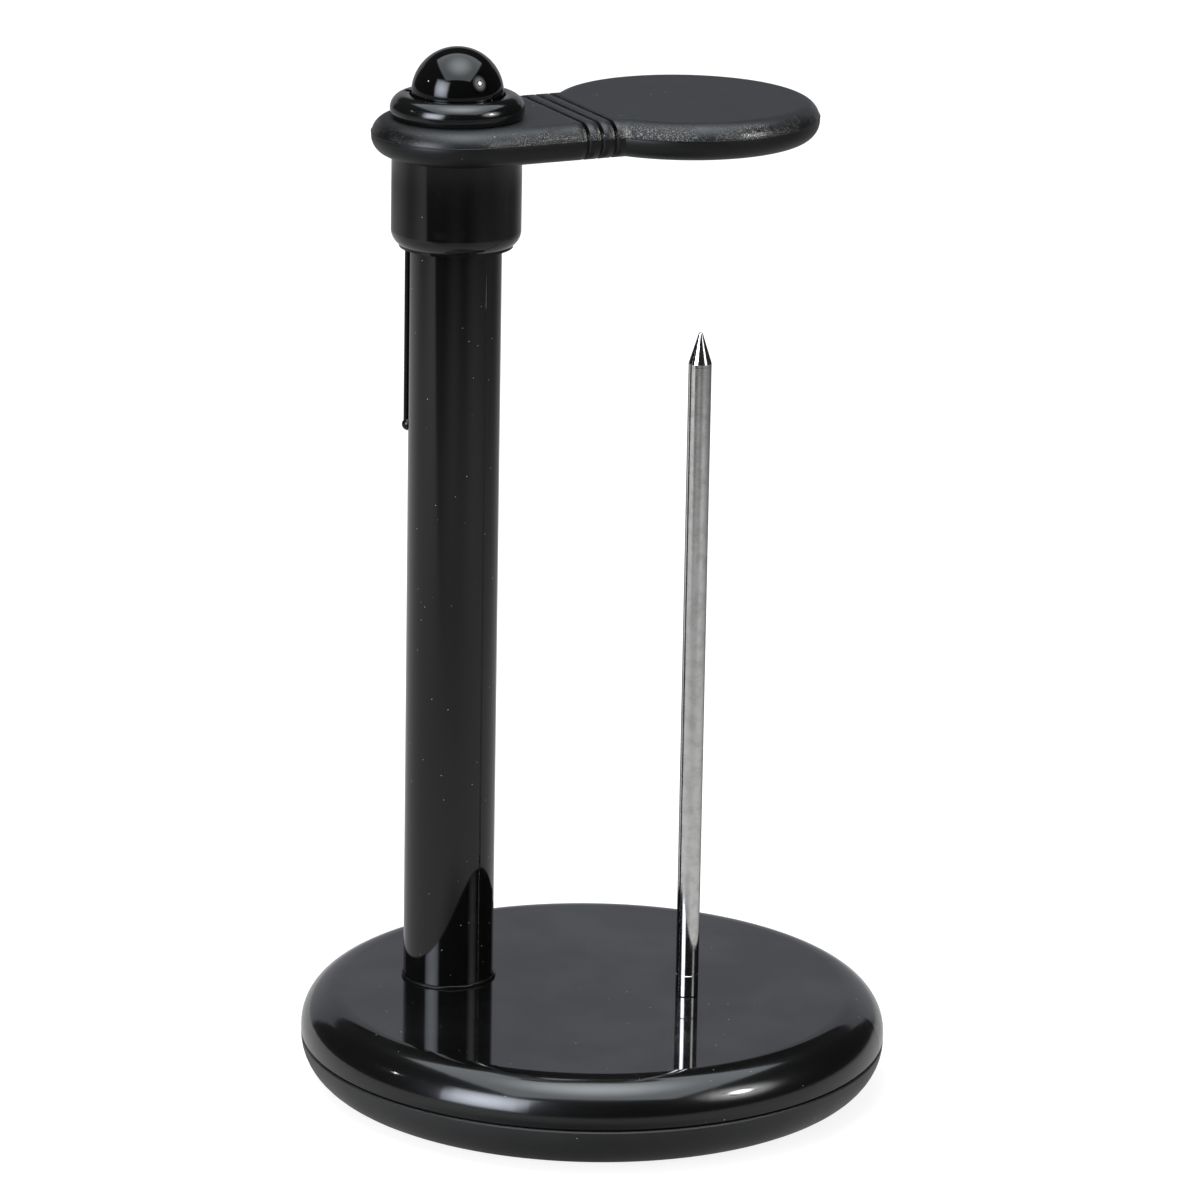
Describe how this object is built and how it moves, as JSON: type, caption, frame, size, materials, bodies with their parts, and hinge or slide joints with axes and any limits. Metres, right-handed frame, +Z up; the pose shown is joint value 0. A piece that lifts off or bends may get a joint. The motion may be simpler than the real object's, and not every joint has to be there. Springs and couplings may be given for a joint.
{
  "type": "receipt spike",
  "caption": "Counter receipt spike: round weighted base with an upright steel spike and a post whose sliding, swivelling palm arm presses slips onto the point.",
  "frame": {"origin": "centre of the face the base stands on", "axes": "+Z up along the post and the spike, +X from the post to the spike"},
  "size_m": [0.1294, 0.1294, 0.23],
  "materials": {
    "gloss_black": "polished moulded black plastic",
    "satin_black": "satin moulded black plastic",
    "arm_satin_black": "fine-textured satin black plastic",
    "black_wire": "blackened steel wire",
    "polished_steel": "drawn and polished steel, mirror-ground point",
    "zinc_steel": "zinc-plated steel",
    "ballast_iron": "bare plate",
    "rubber_black": "matt rubber sheet",
    "glide_plastic": "natural glide plastic"
  },
  "bodies": {
    "stand": {"base_cover": "gloss_black", "base_tray": "satin_black", "ballast_plate": "ballast_iron", "base_screws": "zinc_steel", "non_slip_pad": "rubber_black", "post_tube": "gloss_black", "post_foot_ring": "gloss_black", "post_plug": "satin_black", "post_screw": "zinc_steel", "post_washer": "zinc_steel", "dome_cap": "gloss_black", "guide_wire": "black_wire", "stop_bead": "black_wire", "spike": "polished_steel", "spike_washer": "zinc_steel", "spike_nut": "zinc_steel"},
    "carriage": {"collar": "gloss_black", "friction_ring": "glide_plastic", "swivel_washer": "zinc_steel", "retaining_ring": "gloss_black"},
    "arm": {"press_arm": "arm_satin_black"}
  },
  "joints": [
    {"name": "head_slide", "type": "slide", "parent": "stand", "child": "carriage", "axis": [0, 0, 1], "range_m": [-0.039, 0]},
    {"name": "arm_swivel", "type": "hinge", "parent": "carriage", "child": "arm", "pos_m": [-0.033, 0, 0.2107], "axis": [0, 0, 1], "continuous": true}
  ]
}
